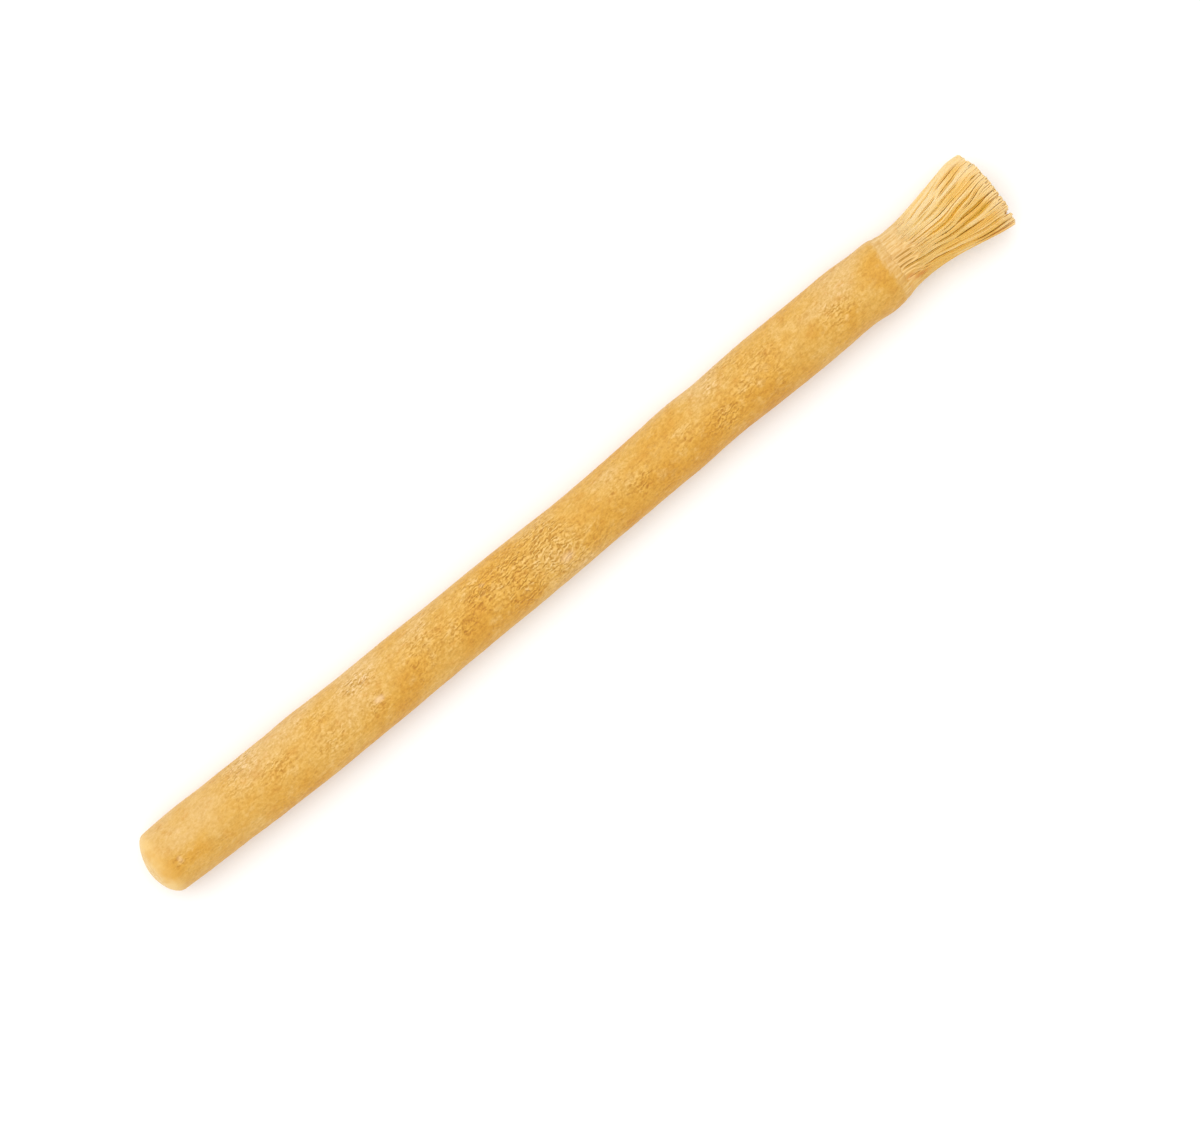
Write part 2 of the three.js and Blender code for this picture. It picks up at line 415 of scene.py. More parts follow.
def place_in_frame():
    """The shift from the stick's own places to the frame's, in millimetres, found from its solid: from its
    trimmed end, and from how its reach to the left and right stands in the frame at one place."""
    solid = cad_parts["miswak_stick"].data
    points = np.empty(len(solid.vertices) * 3)
    solid.vertices.foreach_get("co", points)
    points = points.reshape(-1, 3) / MM
    lowest = points[:, 0].min()
    place, margin = 60.0, 0.5
    ring = points[abs(points[:, 0] - lowest - place) < margin]
    left, right = outline(place)[:2]
    middle = (ring[:, 1].max() + ring[:, 1].min() - left + right) / 2
    return np.array([lowest, middle, MIDDLE_HEIGHT])


TO_FRAME = place_in_frame()


def mesh_object(name, points, faces, **attributes):
    """A smooth mesh object from points in millimetres, with named values or vectors for each point."""
    mesh = bpy.data.meshes.new(name)
    mesh.vertices.add(len(points))
    mesh.vertices.foreach_set("co", ((points + TO_FRAME) * MM).ravel())
    sizes = np.array([len(face) for face in faces])
    corners = np.concatenate(faces)
    mesh.loops.add(len(corners))
    mesh.loops.foreach_set("vertex_index", corners)
    mesh.polygons.add(len(sizes))
    mesh.polygons.foreach_set("loop_start", np.concatenate([[0], np.cumsum(sizes)[:-1]]))
    mesh.polygons.foreach_set("loop_total", sizes)
    mesh.update(calc_edges=True)
    mesh.validate()
    for key, values in attributes.items():
        values = np.asarray(values, float)
        kind, field_name = ("FLOAT_VECTOR", "vector") if values.ndim == 2 else ("FLOAT", "value")
        mesh.attributes.new(key, kind, "POINT").data.foreach_set(field_name, values.ravel())
    mesh.shade_smooth()
    made = bpy.data.objects.new(name, mesh)
    bpy.context.scene.collection.objects.link(made)
    return made


def grid_faces(rings, sides):
    """Quads between rings of points that follow each other, facing out."""
    ring, side = np.meshgrid(np.arange(rings - 1), np.arange(sides), indexing="ij")
    first = ring * sides + side
    second = ring * sides + (side + 1) % sides
    return np.stack([first, second, second + sides, first + sides], -1).reshape(-1, 4)


def wood_streaks(places, angles):
    """The bare wood's lengthwise ridges and furrows, from about -1 to 1."""
    round_it = np.stack([places * 0.07, ROUGH_RADIUS * np.cos(angles), ROUGH_RADIUS * np.sin(angles)], -1)
    return 0.8 * field(round_it, 0.35, 4.0) + 0.8 * field(round_it, 0.17, 14.0)


def bark_stations():
    """Each ring's place, share of the outline's reach, and inset, from the trimmed end's tip to under the
    collar."""
    end = np.sin(np.linspace(0.02, 1, END_RINGS) * np.pi / 2)
    depth = END_DEPTH * (1 - np.sqrt(1 - end**1.7))
    handle = np.arange(END_DEPTH + BARK_STEP, BARK_END - 0.2, BARK_STEP)
    collar = np.array(COLLAR_PROFILE, float)
    places = np.concatenate([depth, handle, BARK_END + collar[:, 0]])
    shares = np.concatenate([end, np.ones(len(handle) + len(collar))])
    insets = np.concatenate([np.zeros(len(depth) + len(handle)), collar[:, 1]])
    return places, shares, insets


def normals_of(points):
    """The outward directions of a grid of rings of points."""
    along = np.gradient(points, axis=0)
    around = np.roll(points, -1, 1) - np.roll(points, 1, 1)
    crossed = np.cross(around, along)
    return crossed / np.maximum(np.linalg.norm(crossed, axis=-1, keepdims=True), 1e-9)


def bark_relief(places, angles, grain):
    """The height of the bark's wrinkles, from about -1 to 1, and how wrinkled it is, up to 1."""
    wrinkled = 0.12 + 0.5 * np.clip(field(grain, 7.0, 3.1), 0, 1)
    wrinkled = np.maximum(wrinkled, patches(WRINKLED_PATCHES, places, angles))
    wrinkled *= smooth_step(1.0, 4.0, places) * (1 - 0.7 * smooth_step(BARK_END - 3, BARK_END, places))
    drawn_out = grain * np.array([0.52, 1, 1])
    bend = np.stack([field(grain, 1.5, seed) for seed in (11.0, 23.0, 37.0)], -1)
    crumple = 1 - 3.0 * abs(field(drawn_out + 0.42 * bend, 0.6, 5.0))
    ripples = field(drawn_out + 0.2 * bend, 0.42, 9.0)
    return wrinkled * (0.7 * crumple + 0.5 * ripples), wrinkled


def bark_form(place, angle, share, inset):
    """The points of the bark and its cut edge while they are smooth, how far each is on the bare wood, and
    the wood's streaks there."""
    end_shift = END_SLANT * share * np.maximum(0, 1 - place / END_DEPTH) * np.cos(angle)
    on_wood = smooth_step(BARK_END, COLLAR_END, place)
    streaks = np.where(on_wood > 0, wood_streaks(place, angle), 0)
    rim = np.stack([np.cos(angle), np.sin(angle), 0 * angle], -1) * ROUGH_RADIUS
    ragged = 0.3 * field(rim, 0.7, 3.0) + 0.14 * streaks
    shift = rim_shift(place, angle) + end_shift + ragged * on_wood
    y, z = reach(np.maximum(place + shift, END_DEPTH), angle, inset - swelling(place, angle))
    return np.stack([place + shift, y * share, z * share], -1), on_wood, streaks


def bark_piece():
    """The bark-covered handle as one fine mesh, wrinkled and lumpy as roots are, and the bark's cut edge."""
    places, shares, insets = bark_stations()
    angles = np.arange(BARK_SIDES) / BARK_SIDES * 2 * np.pi
    place, angle = np.meshgrid(places, angles, indexing="ij")
    share = shares[:, None]
    points, on_wood, streaks = bark_form(place, angle, share, insets[:, None])
    radius = np.hypot(points[..., 1], points[..., 2])
    twisted = angle + GRAIN_TWIST * place
    grain = np.stack([place, radius * np.cos(twisted), radius * np.sin(twisted)], -1)
    on_skin = 1 - smooth_step(BARK_END - 0.25, BARK_END, place)
    relief, wrinkled = bark_relief(place, angle, grain)
    lumps = LUMP_HEIGHT * field(grain, 8.0, 1.0) + SMALL_LUMP_HEIGHT * field(grain, 3.0, 2.0)
    height = on_skin * (WRINKLE_HEIGHT * relief + lumps * smooth_step(0, 6, place))
    height = height + COLLAR_STREAK_HEIGHT * on_wood * streaks
    points += normals_of(points) * height[..., None]
    points[..., 2] = np.maximum(points[..., 2], -MIDDLE_HEIGHT)

    mottle = patches(GOLDEN_PATCHES, place, angle) - patches(PALE_PATCHES, place, angle)
    # Painted light: the bark is made paler on its left, where the light comes from, and more golden on its
    # right, as painted shade.
    mottle = mottle - 0.45 * np.cos(angle)
    flat = points.reshape(-1, 3)
    tip = points[0].mean(0, keepdims=True)
    fan = [(len(flat), (j + 1) % BARK_SIDES, j) for j in range(BARK_SIDES)]

    def with_tip(values):
        """The values of all points, and one more for the point at the tip."""
        return np.append(values.ravel(), values[0].mean())

    return mesh_object(
        "bark",
        np.concatenate([flat, tip]),
        [*grid_faces(len(places), BARK_SIDES), *np.array(fan)],
        along=with_tip(place),
        relief=with_tip(relief),
        wrinkled=with_tip(wrinkled),
        mottle=with_tip(mottle),
        scuff=with_tip(patches(SCUFFS, place, angle)),
        streak=with_tip(streaks),
        side=with_tip(np.cos(angle)),
        inside=with_tip(1 - smooth_step(0.62, 0.86, share + 0 * place)),
        grain=np.concatenate([grain.reshape(-1, 3), [[0, 0, 0]]]),
    )


def all_gaps(random):
    """The gaps' rows, with more of them at random angles on the underside."""
    first_angle, turn = 172, 196
    start = random.uniform(133.5, 142, HIDDEN_GAPS)
    end = np.minimum(start + random.uniform(4, 12, HIDDEN_GAPS), 148.5)
    order = np.arange(HIDDEN_GAPS) + random.uniform(-0.3, 0.3, HIDDEN_GAPS)
    angle = first_angle + order * turn / HIDDEN_GAPS
    width = random.uniform(1.6, 3.2, HIDDEN_GAPS)
    return [*GAPS, *zip(start, end, angle, width)]


def strand_angles(places, starting):
    """The angle at each place of what starts at an angle in degrees. It follows the strands' table."""
    rows = np.array(STRANDS, float)
    total = np.zeros(np.broadcast(places, starting).shape)
    for place, column in zip(STRAND_PLACES, rows.T):
        spot = np.clip(places, STRAND_PLACES[0], STRAND_PLACES[-1])
        weight = smooth_step(0, 1, 1 - abs(spot - place) / STRAND_SPACING)
        total += weight * np.interp(starting, rows[:, 0], column)
    return total


def part_at_gaps(gaps, places, angles):
    """How far what is at some angles moves aside from the gaps, in degrees, and how near a gap it is: from
    0 to about 1."""
    push = np.zeros(places.shape)
    near = np.zeros(places.shape)
    for start, end, angle, width in gaps:
        aside = (angles - strand_angles(places, angle) + 180) % 360 - 180
        taper = min(1.8, 0.3 * (end - start))
        closed = smooth_step(end - taper, end + 0.1, places)
        opening = smooth_step(start - 0.1, start + taper, places) * (1 - closed)
        push += 0.9 * width * opening * np.tanh(aside / 0.6) * np.exp(-abs(aside) / 3.5)
        beside = np.exp(-((aside / (0.7 + width * 0.5)) ** 2))
        near = np.maximum(near, opening * min(width / 1.8, 1.2) * beside)
    return push, near


def fraying(starting):
    """The place where the neck's wood comes apart into fibres, for each starting angle in degrees."""
    on_left = smooth_step(-0.5, 0.6, np.cos(np.radians(starting)))
    slow_wave = 0.6 * np.sin(np.radians(starting * 4) + 1)
    uneven = np.cos(starting)  # with the degrees taken as radians, so that it changes at each angle
    quick_wave = 0.8 * np.sin(np.radians(starting * 17)) * uneven
    return FRAYING_PLACE + 0.9 * on_left + (slow_wave + quick_wave)


def neck_piece(gaps):
    """The bare wood between the collar and the fibres, with the grooves and slits where they part."""
    places = np.arange(COLLAR_END - 0.4, NECK_END, NECK_STEP)
    starting = np.arange(NECK_SIDES) / NECK_SIDES * 360
    place, starting = np.meshgrid(places, starting, indexing="ij")
    frayed = fraying(starting)
    angle = strand_angles(place, starting)
    push, near = part_at_gaps(gaps, place, angle)
    angle = np.radians(angle + 0.3 * push)
    shift = rim_shift(place, angle)
    inset = 0.3 * COLLAR_STEP * (1 - smooth_step(COLLAR_END, COLLAR_END + 2, place))
    y, z = reach(place + shift, angle, inset)
    start = np.radians(starting)
    ridges = wood_streaks(place, start)
    share = 1 - 0.12 * smooth_step(frayed, frayed + 2.6, place)
    share = share - 0.3 * smooth_step(NECK_END - 3, NECK_END, place)
    slits = SLIT_DEPTH * near * smooth_step(COLLAR_END - 0.4, COLLAR_END + 0.2, place)
    scale = share + (NECK_STREAK_HEIGHT * ridges - slits) / NECK_RADIUS
    points = np.stack([place + shift, y * scale, z * scale], -1).reshape(-1, 3)
    grain = np.stack([place * 0.3, ROUGH_RADIUS * np.cos(start), ROUGH_RADIUS * np.sin(start)], -1)
    return mesh_object(
        "neck",
        points,
        grid_faces(len(places), NECK_SIDES),
        groove=near.ravel(),
        streak=ridges.ravel(),
        stain=patches(STAINS, place, start).ravel(),
        side=np.cos(angle).ravel(),
        grain=grain.reshape(-1, 3),
    )


def fibre_layout(random):
    """Each fibre's share of the stick's reach, and its angles in degrees where it starts and ends."""
    layers = 1 - np.arange(FIBRE_LAYERS) / FIBRE_LAYERS
    counts = np.maximum(3, np.round(OUTER_FIBRES * layers)).astype(int)
    share = np.repeat(layers, counts)[:, None]
    fibres = len(share)
    share = share + random.uniform(-0.012, 0.004, (fibres, 1))
    order = np.concatenate([np.arange(count) / count + 0.38 * k for k, count in enumerate(counts)])
    spacing = 360 / np.repeat(counts, counts)
    strands = np.array(STRANDS, float)
    ending = strands[0, -1] + (order * 360 + random.uniform(-0.3, 0.3, fibres) * spacing) % 360
    starting = np.interp(ending, strands[:, -1], strands[:, 0])[:, None]
    return share, starting, ending


def fibre_paths(random, gaps):
    """Each fibre's points and thickness, and the values that its colour follows at each point."""
    share, starting, ending = fibre_layout(random)
    each = (len(share), 1)  # one value for each fibre
    frayed = fraying(starting) + random.uniform(-1.1, 1.1, each)
    root = frayed + random.uniform(-1.8, 0.8, each)
    tip = tip_places(random, ending, share[:, 0])
    t = np.linspace(0, 1, FIBRE_STEPS + 1)[None, :]
    place = root + (tip[:, None] - root) * t
    outer = smooth_step(0.91, 0.965, share)
    wander = random.normal(0, FIBRE_WANDER, each) * smooth_step(138, LENGTH, place)
    angle = strand_angles(place, starting) + wander
    push, near = part_at_gaps(gaps, place, angle)
    angle = np.radians(angle + outer * push)
    radius = FIBRE_RADIUS * random.uniform(0.85, 1.12, each)
    radius = radius * (0.94 + 0.12 * t) * crowding(place, starting)
    hidden = 0.1 * (1 - smooth_step(frayed - 0.6, frayed + 1.2, place))
    stray = (random.random(each) < STRAY_SHARE) * outer * random.uniform(0.015, 0.05, each)
    lift = random.normal(0, 0.006, each) * smooth_step(137, LENGTH, place)
    lift = lift + stray * smooth_step(142, LENGTH, place)
    depth = share * (1 - 0.03 * outer * near) + lift
    y, z = reach(place, angle, radius + hidden)
    points = np.stack([place, y * depth, z * depth], -1)
    points[..., 2] = np.maximum(points[..., 2], -MIDDLE_HEIGHT + radius)
    radius = radius * np.where(t == 0, 0.35, 1.0)
    start = np.radians(starting)
    values = {
        "tint": patches(PALE_TUFTS, place, start) - patches(GOLDEN_TUFTS, place, start),
        "stain": patches(STAINS, place, start),
        "depth": 1 - share,
        "gap": near * outer,
        "along": place,
        "free": smooth_step(frayed - 0.5, frayed + 6.5, place),
        "side": np.cos(angle),
    }
    return points, radius, values


def crowding(places, starting):
    """How thick the fibres are at each place, as a share: thinner where their strands run close together."""
    step = 1.0
    spread = strand_angles(places, starting + step) - strand_angles(places, starting)
    tips = np.full(places.shape, STRAND_PLACES[-1], float)
    tip_spread = strand_angles(tips, starting + step) - strand_angles(tips, starting)
    return np.clip(spread / tip_spread, 0.6, 1.05)


def tip_places(random, ending, share):
    """Where each fibre's tip is cut: in tufts of uneven length, shorter at the sides, with a few notches."""
    y, z = reach(np.full(len(ending), LENGTH), np.radians(ending))
    y, z = y * share, z * share
    across = np.cos(np.radians(ending)) * share
    upright = field(np.stack([y, z * 0.4, z * 0], -1), 0.9, 6.0)
    level = field(np.stack([y * 0.3, z, z * 0], -1), 0.9, 16.0)
    slant = TIP_SLANT_LEFT * np.maximum(0, across) ** 3 + TIP_SLANT_RIGHT * np.maximum(0, -across) ** 3
    cut = LENGTH - 0.1 - slant - 0.1 * share**3 - TUFT_STEP * abs(upright) - LEVEL_TUFT_STEP * abs(level)
    for side, half_width, depth in NOTCHES:
        wandering = side + 0.025 * z + 0.06 * np.sin(1.7 * z + side)
        cut -= depth * np.exp(-(((y - wandering) / half_width) ** 2))
    short = random.random(len(ending)) < SHORT_SHARE
    return cut - random.uniform(0, 0.25, len(ending)) - short * random.uniform(0.1, 0.7, len(ending))


def fibres_pieces(gaps):
    """The brush's fibres, each a thin tube from the neck to its own cut tip, in two meshes."""
    random = np.random.default_rng(SEED)
    paths, radius, values = fibre_paths(random, gaps)
    ribbons = field(paths * np.array([0.1, 1, 1]), 0.9, 21.0)
    own = random.random((len(paths), 1)) - 0.5
    # The side term paints the fibres paler on the left and more golden on the right, as painted light; the
    # rest is their own tone.
    values["tone_and_side_light"] = 0.5 + 0.75 * ribbons + 0.4 * own + 0.46 * values["side"] + values.pop("tint")
    pieces = []
    for half in range(2):
        own_values = {key: np.broadcast_to(value, radius.shape)[half::2] for key, value in values.items()}
        name = f"fibres_{half + 1}"
        pieces.append(fibres_mesh(name, random, paths[half::2], radius[half::2], own_values))
    return pieces


def fibres_mesh(name, random, paths, radius, values):
    """Thin tubes along some paths, each with a cut tip, and with the values that their colour follows."""
    count, steps = paths.shape[:2]
    direction = np.gradient(paths, axis=1)
    direction /= np.linalg.norm(direction, axis=-1, keepdims=True)
    side = np.cross(direction, [0.0, 0.0, 1.0])
    side /= np.linalg.norm(side, axis=-1, keepdims=True)
    other = np.cross(side, direction)
    turn = (np.arange(FIBRE_SIDES) / FIBRE_SIDES * 2 * np.pi)[None, None, :, None]
    turn = turn + random.uniform(0, 2 * np.pi, (count, 1, 1, 1))
    ring = side[:, :, None] * np.cos(turn) + other[:, :, None] * np.sin(turn)
    tubes = (paths[:, :, None] + ring * radius[:, :, None, None]).reshape(count, -1, 3)
    points = np.concatenate([tubes, tubes[:, -FIBRE_SIDES:]], 1)  # the last ring again, for a sharp cut tip
    per_fibre = points.shape[1]
    first = (np.arange(count) * per_fibre)[:, None, None]
    sides = (grid_faces(steps, FIBRE_SIDES)[None, :, ::-1] + first).reshape(-1, 4)
    caps = np.arange(per_fibre - FIBRE_SIDES, per_fibre)[None, ::-1] + first[:, 0]

    def round_it(value):
        """The value of each point of the paths, for all the points round it."""
        value = np.repeat(value, FIBRE_SIDES, 1)
        return np.concatenate([value, value[:, -FIBRE_SIDES:]], 1).ravel()

    cut = np.zeros((count, per_fibre))
    cut[:, -FIBRE_SIDES:] = 1
    return mesh_object(
        name,
        points.reshape(-1, 3),
        [*sides, *caps],
        cut=cut.ravel(),
        **{key: round_it(value) for key, value in values.items()},
    )


class Nodes:
    """A material's nodes, with short ways to make them."""

    def __init__(self, name):
        self.material = bpy.data.materials.new(name)
        self.material.use_nodes = True
        self.nodes = self.material.node_tree.nodes
        self.links = self.material.node_tree.links
        self.shader = self.nodes["Principled BSDF"]

    def put(self, socket, value):
        """Links a value's socket, or sets a plain one on the socket itself."""
        if isinstance(value, bpy.types.NodeSocket):
            self.links.new(value, socket)
        elif isinstance(value, tuple) and len(value) == 3 and socket.type == "RGBA":
            socket.default_value = (*value, 1)
        else:
            socket.default_value = value

    def attribute(self, name, output="Fac"):
        """A value, or with Vector as output three, that the mesh carries for each of its points."""
        node = self.nodes.new("ShaderNodeAttribute")
        node.attribute_name = name
        return node.outputs[output]

    def ramp(self, source, stops):
        """A colour ramp after a value: stops are (position, colour) pairs."""
        node = self.nodes.new("ShaderNodeValToRGB")
        elements = node.color_ramp.elements
        while len(elements) < len(stops):
            elements.new(0.5)
        for element, (position, colour) in zip(elements, stops):
            element.position = position
            element.color = (*colour, 1)
        self.links.new(source, node.inputs[0])
        return node.outputs[0]

    def noise(self, vector, scale, detail, roughness, stretch=(1, 1, 1), distortion=0.0):
        """Smooth noise, from 0 to 1: the larger its scale, the finer it is."""
        mapping = self.nodes.new("ShaderNodeMapping")
        mapping.inputs["Scale"].default_value = stretch
        self.links.new(vector, mapping.inputs["Vector"])
        node = self.nodes.new("ShaderNodeTexNoise")
        node.inputs["Scale"].default_value = scale
        node.inputs["Detail"].default_value = detail
        node.inputs["Roughness"].default_value = roughness
        node.inputs["Distortion"].default_value = distortion
        self.links.new(mapping.outputs[0], node.inputs["Vector"])
        return node.outputs["Fac"]

    def maths(self, operation, a, b=0.0, c=0.0):
        """The result of a maths node for up to three values."""
        node = self.nodes.new("ShaderNodeMath")
        node.operation = operation
        for socket, value in zip(node.inputs, (a, b, c)):
            self.put(socket, value)
        return node.outputs[0]

    def mix(self, factor, a, b, kind="MIX"):
        """Colour b over colour a, by a share from 0 to 1."""
        node = self.nodes.new("ShaderNodeMix")
        node.data_type = "RGBA"
        node.blend_type = kind
        for index, value in ((0, factor), (6, a), (7, b)):
            self.put(node.inputs[index], value)
        return node.outputs[2]

    def span(self, value, low, high, to_low=0.0, to_high=1.0):
        """A smooth change from one number to another while a value goes from low to high."""
        node = self.nodes.new("ShaderNodeMapRange")
        node.interpolation_type = "SMOOTHSTEP"
        numbers = {"From Min": low, "From Max": high, "To Min": to_low, "To Max": to_high}
        for name, number in numbers.items():
            node.inputs[name].default_value = number
        self.links.new(value, node.inputs["Value"])
        return node.outputs[0]

    def bump(self, height, distance):
        """Gives the surface fine bumps that follow a height."""
        node = self.nodes.new("ShaderNodeBump")
        node.inputs["Distance"].default_value = distance
        self.links.new(height, node.inputs["Height"])
        self.links.new(node.outputs[0], self.shader.inputs["Normal"])

    def surface(self, colour, roughness):
        """Sets the shader's colour and roughness, and its faint gloss."""
        self.put(self.shader.inputs["Base Color"], colour)
        self.put(self.shader.inputs["Roughness"], roughness)
        self.put(self.shader.inputs["Specular IOR Level"], BARE_GLOSS)


def bark_material():
    """Satin golden bark, with painted shade in its furrows and painted highlights on its wrinkles' crests,
    the trimmed end's face and the bark's cut edge.
    """
    n = Nodes("golden_bark")
    grain = n.attribute("grain", "Vector")
    along = n.attribute("along")
    grainy = n.noise(grain, 5.0, 3, 0.6, (0.8, 1, 1))
    fine = bark_wrinkles(n, grain, grainy)
    # Painted light: the wrinkles' height darkens the colour in furrows as painted shade and pales it on
    # crests as a painted highlight.
    lit = n.maths("MULTIPLY_ADD", n.attribute("relief"), 0.12, n.maths("SUBTRACT", fine, 0.4))
    lit = n.maths("MULTIPLY", lit, n.span(along, 8.0, 26.0, 0.62, 1.0))
    shade = n.ramp(n.span(lit, -0.93, 0.93), PAINTED_RELIEF_SHADE_RAMP)
    colour = n.mix(1.0, bark_clouds(n, grain), shade, "MULTIPLY")
    colour = n.mix(n.span(n.attribute("scuff"), 0.1, 0.9, 0, 0.6), colour, SCUFF_COLOUR)

    worn = n.ramp(n.noise(grain, 0.35, 3, 0.5), WORN_END_RAMP)
    colour = n.mix(n.span(along, 4.0, 0.9, 0, 0.85), colour, worn)
    colour = n.mix(n.attribute("inside"), colour, end_grain(n, grain))
    collar = streak_shaded(n, n.ramp(n.noise(grain, 3.2, 3, 0.6, (0.4, 1, 1)), COLLAR_RAMP))
    edge = n.maths("MULTIPLY_ADD", n.noise(grain, 1.5, 3, 0.6), 1.2, along)
    colour = n.mix(n.span(edge, BARK_END + 0.05, BARK_END + 0.85), colour, collar)
    n.surface(colour, n.span(grainy, 0.3, 0.7, 0.42, 0.6))
    n.bump(fine, FINE_BUMP)
    return n.material


def bark_clouds(n, grain):
    """The bark's broad patches of colour, paler on its left and more golden on its right as painted light,
    with paler and more golden clouds in them.
    """
    broad = n.noise(grain, 0.14, 3, 0.5, (0.6, 1, 1))
    colour = n.ramp(n.maths("MULTIPLY_ADD", n.attribute("mottle"), -0.22, broad), BARK_RAMP)
    clouds = n.noise(grain, 0.7, 4, 0.6, (0.7, 1, 1))
    colour = n.mix(n.span(clouds, 0.5, 0.72, 0, 0.42), colour, PALE_CLOUD)
    return n.mix(n.span(clouds, 0.48, 0.3, 0, 0.38), colour, GOLDEN_CLOUD)


def bark_wrinkles(n, grain, grainy):
    """The bark's finest wrinkles and grain as a height: strong where it is wrinkled, and faint elsewhere."""
    wrinkled = n.attribute("wrinkled")
    bumps = n.maths("SUBTRACT", n.noise(grain, 2.3, 2, 0.5, (0.75, 1, 1), 0.4), 0.5)
    bumpy = n.maths("MULTIPLY", bumps, n.span(wrinkled, 0.05, 0.7, 1.1, 2.4))
    rippled = n.maths("MULTIPLY", bark_ripples(n, grain), n.span(wrinkled, 0.08, 0.9, 0.07, 0.7))
    return n.maths("MULTIPLY_ADD", grainy, 0.8, n.maths("ADD", bumpy, rippled))


def end_grain(n, grain):
    """The wood's colour across the trimmed end: faint rings, and small darker pores."""
    parts = n.nodes.new("ShaderNodeSeparateXYZ")
    n.links.new(grain, parts.inputs[0])
    square = n.maths("MULTIPLY", parts.outputs["Y"], parts.outputs["Y"])
    spread = n.maths("SQRT", n.maths("MULTIPLY_ADD", parts.outputs["Z"], parts.outputs["Z"], square))
    warped = n.maths("MULTIPLY_ADD", n.noise(grain, 0.9, 3, 0.5), 1.2, spread)
    rings = n.maths("SINE", n.maths("MULTIPLY", warped, 7.0))
    broken = n.span(n.noise(grain, 0.8, 2, 0.5), 0.35, 0.65)
    faint = n.maths("MULTIPLY", n.span(rings, -0.2, 1.0), broken)
    colour = n.ramp(n.noise(grain, 2.6, 3, 0.6), END_GRAIN_RAMP)
    colour = n.mix(n.maths("MULTIPLY", faint, 0.5), colour, RING_COLOUR)
    pores = n.noise(grain, 6.0, 2, 0.5)
    return n.mix(n.span(pores, 0.42, 0.32, 0, 0.75), colour, PORE_COLOUR)


def bark_ripples(n, grain):
    """Fine ripples that run along the stick in short wavy pieces, from -1 to 1, with the grain's places."""
    parts = n.nodes.new("ShaderNodeSeparateXYZ")
    n.links.new(grain, parts.inputs[0])
    angle = n.maths("ARCTAN2", parts.outputs["Z"], parts.outputs["Y"])
    slow = n.noise(grain, 0.45, 2, 0.5, (0.6, 1, 1))
    quick = n.noise(grain, 1.6, 2, 0.5, (0.85, 1, 1))
    bent = n.maths("MULTIPLY_ADD", slow, 18.0, n.maths("MULTIPLY", quick, 14.0))
    lines = n.maths("COSINE", n.maths("MULTIPLY_ADD", angle, float(BARK_RIPPLES), bent))
    broken = n.span(n.noise(grain, 1.7, 2, 0.5, (0.75, 1, 1)), 0.4, 0.56, 0.15, 1.0)
    return n.maths("MULTIPLY", lines, broken)


def painted_side_light(n, colour):
    """A colour made paler on the stick's left, as painted light, and more golden on its right, as painted
    shade.
    """
    tint = n.ramp(n.span(n.attribute("side"), -1.0, 1.0), SIDE_LIGHT_RAMP)
    return n.mix(1.0, colour, tint, "MULTIPLY")


def streak_shaded(n, colour):
    """Bare wood's colour with painted light: its two sides unlike, its furrows darker as painted shade and
    its ridges paler as a painted highlight.
    """
    colour = painted_side_light(n, colour)
    streak = n.attribute("streak")
    colour = n.mix(n.span(streak, 0.1, -0.6, 0, 0.5), colour, FURROW_SHADE_COLOUR)
    return n.mix(n.span(streak, 0.1, 0.6, 0, 0.5), colour, RIDGE_HIGHLIGHT_COLOUR)


def stained(n, colour):
    """Bare wood's colour, more orange where it is stained."""
    return n.mix(n.span(n.attribute("stain"), 0.0, 0.9, 0, 0.85), colour, STAIN_COLOUR)


def wood_material():
    """The neck's bare wood, with slits painted dark as shade, and their edges painted pale as a highlight."""
    n = Nodes("bare_wood")
    grain = n.attribute("grain", "Vector")
    fine = n.noise(grain, 3.2, 3, 0.6)
    colour = stained(n, streak_shaded(n, n.ramp(fine, WOOD_RAMP)))
    groove = n.attribute("groove")
    slit_edge_highlight = n.maths("MULTIPLY", n.span(groove, 0.0, 0.06), n.span(groove, 0.4, 0.12, 0, 0.7))
    colour = n.mix(slit_edge_highlight, colour, SLIT_EDGE_HIGHLIGHT_COLOUR)
    colour = n.mix(n.span(groove, 0.3, 0.9, 0, 0.8), colour, SLIT_SHADE_COLOUR)
    n.surface(colour, 0.58)
    n.bump(fine, FINE_BUMP)
    return n.material


def fibre_material():
    """The brush's fibres: deeper in colour inside the brush and beside gaps, as painted shade, paler on the
    left as painted light, and pale at their cut tips.
    """
    n = Nodes("wood_fibres")
    colour = n.ramp(n.attribute("tone_and_side_light"), FIBRE_RAMP)
    along = n.attribute("along")
    colour = n.mix(n.span(n.attribute("free"), 0.8, 0.0, 0, 0.85), colour, painted_side_light(n, FIBRE_ROOT_COLOUR))
    colour = stained(n, colour)
    colour = n.mix(n.span(along, 146.6, 149.3, 0, 0.8), colour, FIBRE_END_COLOUR)
    # Painted shade: fibres inside the brush and beside gaps get a deeper golden colour.
    inner_shade = n.span(n.attribute("depth"), 0.02, 0.05, 0, 0.9)
    inner_shade = n.maths("MULTIPLY", inner_shade, n.span(along, 149.0, 147.0))
    colour = n.mix(inner_shade, colour, INNER_FIBRE_SHADE_COLOUR)
    colour = n.mix(n.span(n.attribute("gap"), 0.15, 1.0, 0, 0.55), colour, GAP_SHADE_COLOUR)
    colour = n.mix(n.span(n.attribute("cut"), 0.4, 0.6, 0, 0.6), colour, CUT_TIP_COLOUR)
    n.surface(colour, 0.55)
    n.put(n.shader.inputs["Subsurface Weight"], 0.35)
    n.put(n.shader.inputs["Subsurface Radius"], (1.0, 0.9, 0.6))
    n.put(n.shader.inputs["Subsurface Scale"], FIBRE_GLOW * MM)
    return n.material


def give(piece, material):
    """Gives a piece its material, and says what it stands for in the frame."""
    piece.data.materials.append(material)
    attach(piece, "root")
    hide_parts("miswak_stick")


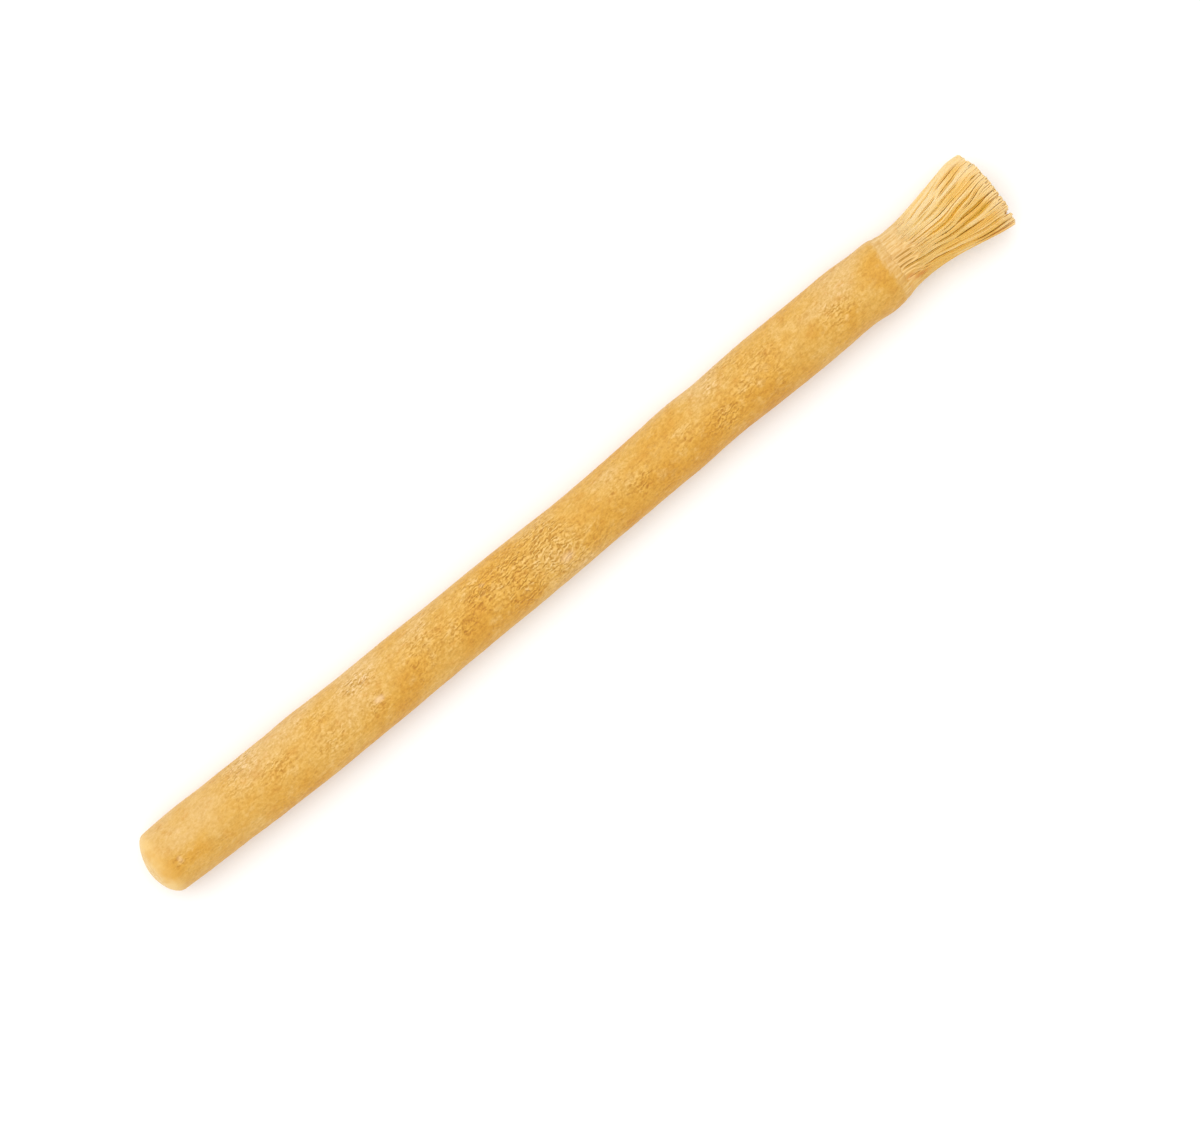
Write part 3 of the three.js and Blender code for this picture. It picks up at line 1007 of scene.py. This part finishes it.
def camera():
    """A camera straight above the stick, turned so that the stick lies in the picture as in the photo."""
    data = bpy.data.cameras.new("camera")
    made = bpy.data.objects.new("camera", data)
    bpy.context.scene.collection.objects.link(made)
    data.lens = LENS
    data.sensor_width = SENSOR_WIDTH
    middle = Vector((PHOTO_WIDTH / 2, PHOTO_HEIGHT / 2)) - PHOTO_START
    along = middle.x * math.cos(PHOTO_TILT) - middle.y * math.sin(PHOTO_TILT)
    right = middle.x * math.sin(PHOTO_TILT) + middle.y * math.cos(PHOTO_TILT)
    aim = np.array([along * PHOTO_SCALE, -right * PHOTO_SCALE, 0]) + TO_FRAME
    distance = PHOTO_WIDTH * PHOTO_SCALE * LENS / SENSOR_WIDTH
    made.location = Vector(aim * MM) + Vector((0, 0, distance * MM))
    made.rotation_euler = (0, 0, -PHOTO_TILT)
    bpy.context.scene.camera = made


def floor():
    """The plain pale floor."""
    half = FLOOR_HALF
    mesh = bpy.data.meshes.new("floor")
    corners = [(-half, -half, 0), (half, -half, 0), (half, half, 0), (-half, half, 0)]
    mesh.from_pydata(corners, [], [(0, 1, 2, 3)])
    made = bpy.data.objects.new("floor", mesh)
    bpy.context.scene.collection.objects.link(made)
    n = Nodes("pale_floor")
    n.put(n.shader.inputs["Base Color"], FLOOR_COLOUR)
    n.put(n.shader.inputs["Roughness"], 0.9)
    n.put(n.shader.inputs["Specular IOR Level"], 0.0)
    made.data.materials.append(n.material)


def softbox(name, turn, height):
    """A round soft light, turned anticlockwise from the picture's right, at a height, both in degrees."""
    lamp = bpy.data.lights.new(name, "AREA")
    lamp.shape = "DISK"
    lamp.size = LAMP_SIZE
    lamp.energy = LAMP_POWER
    made = bpy.data.objects.new(name, lamp)
    bpy.context.scene.collection.objects.link(made)
    heading = math.radians(turn) - PHOTO_TILT
    rise = math.radians(height)
    level = math.cos(rise)
    towards = Vector((math.cos(heading) * level, math.sin(heading) * level, math.sin(rise)))
    made.location = towards * LAMP_DISTANCE
    made.rotation_euler = towards.to_track_quat("Z", "Y").to_euler()


def light():
    """An even white sky, and a soft light from the picture's upper left."""
    world = bpy.data.worlds.new("world")
    bpy.context.scene.world = world
    world.use_nodes = True
    background = world.node_tree.nodes["Background"]
    background.inputs["Color"].default_value = (1, 1, 1, 1)
    background.inputs["Strength"].default_value = SKY_STRENGTH
    softbox("overhead", turn=135, height=72)
    bpy.context.scene.view_settings.view_transform = "Standard"


def main():
    camera()
    floor()
    light()
    gaps = all_gaps(np.random.default_rng(SEED))
    give(bark_piece(), bark_material())
    give(neck_piece(gaps), wood_material())
    fibres = fibre_material()
    for piece in fibres_pieces(gaps):
        give(piece, fibres)


main()
